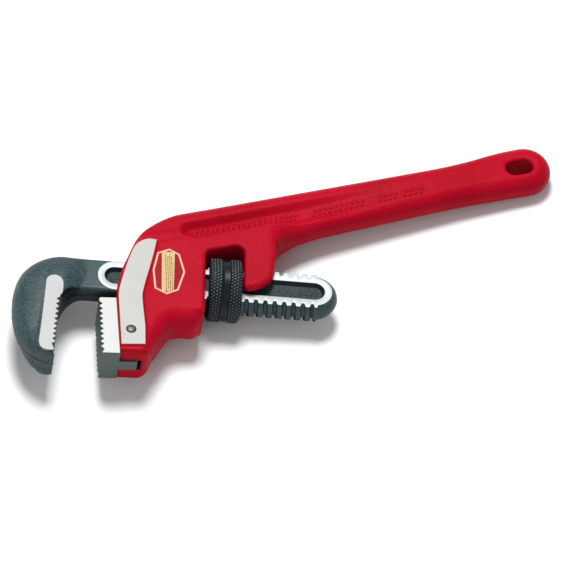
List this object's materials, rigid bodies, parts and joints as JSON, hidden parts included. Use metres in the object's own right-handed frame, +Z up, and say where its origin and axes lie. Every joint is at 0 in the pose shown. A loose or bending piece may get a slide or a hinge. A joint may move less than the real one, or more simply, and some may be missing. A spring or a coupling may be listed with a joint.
{
  "type": "pipe wrench",
  "caption": "Heavy pipe wrench with a hooked sliding jaw on a threaded shank, a knurled adjusting nut, a pinned toothed heel jaw and a painted cast handle with a hanging hole.",
  "frame": {"origin": "middle of the outline's length and width, on the flat the nut rests on", "axes": "+X along the shank from the hook towards the grip's end, +Y from the open side of the jaws towards the grip, +Z up through the thickness"},
  "size_m": [0.3262, 0.1959, 0.0387],
  "materials": {
    "handle_paint": "semi-gloss red paint over a grainy casting",
    "forged_steel": "dark satin forged steel with ground faces",
    "jaw_steel": "hardened steel, ground on its faces",
    "pin_steel": "dark steel with domed ends",
    "nut_steel": "black oxide, worn bright on the knurl",
    "spring_steel": "oiled spring steel",
    "label_film": "printed film"
  },
  "bodies": {
    "frame": {"handle": "handle_paint", "heel_jaw": "jaw_steel", "heel_jaw_pin": "pin_steel", "coil_spring": "spring_steel", "label": "label_film"},
    "rocker": {"flat_spring": "spring_steel"},
    "nut": {"adjusting_nut": "nut_steel"},
    "jaw": {"hook_jaw": "forged_steel"}
  },
  "joints": [
    {"name": "jaw_rock", "type": "hinge", "parent": "frame", "child": "rocker", "pos_m": [-0.03525, -0.0302, 0.01935], "axis": [0, 0, 1], "range_deg": [0, 1.5], "stiffness_Nm_per_rad": 8, "springref_deg": -6.88, "deforming": ["coil_spring"]},
    {"name": "nut_turn", "type": "hinge", "parent": "rocker", "child": "nut", "pos_m": [-0.03525, -0.0302, 0.01935], "axis": [1, 0, 0], "range_deg": [-1260, 2250]},
    {"name": "jaw_slide", "type": "slide", "parent": "rocker", "child": "jaw", "axis": [-1, 0, 0], "range_m": [-0.02013, 0.03593]}
  ],
  "couplings": [
    {"joint": "nut_turn", "follows": "jaw_slide", "rad_per_m": 1092.7}
  ]
}
